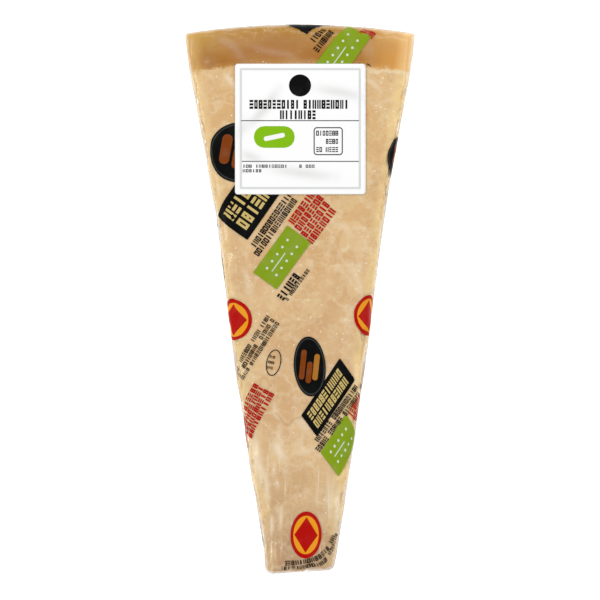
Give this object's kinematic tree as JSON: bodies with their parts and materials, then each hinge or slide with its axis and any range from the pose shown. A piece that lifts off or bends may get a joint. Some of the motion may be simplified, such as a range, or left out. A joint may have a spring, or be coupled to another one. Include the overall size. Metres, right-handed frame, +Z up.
{
  "type": "wedge of hard cheese in clear film",
  "caption": "Long tapered wedge of aged hard cheese with its rind on the wide end, shrunk into tight printed clear film, with a square paper label on its face.",
  "frame": {"origin": "under the middle of the wedge's bounding box, on the surface that it lies on", "axes": "+Z up out of the labelled face, +Y from the cut tip to the rind, X across the wedge"},
  "size_m": [0.065, 0.1548, 0.0283],
  "materials": {
    "wrapped_cheese": "pale straw cheese under tight glossy clear film, brown at the rind",
    "label_paper": "smooth white coated paper",
    "clear_film": "tight glossy clear film, a little hazy where it is wrinkled",
    "film_print": "opaque inks printed on the film: black, red, gold, green and amber",
    "label_ink": "flat printing ink on the paper label"
  },
  "bodies": {
    "root": {"wrapped_wedge": "wrapped_cheese", "paper_label": "label_paper"}
  },
  "joints": []
}
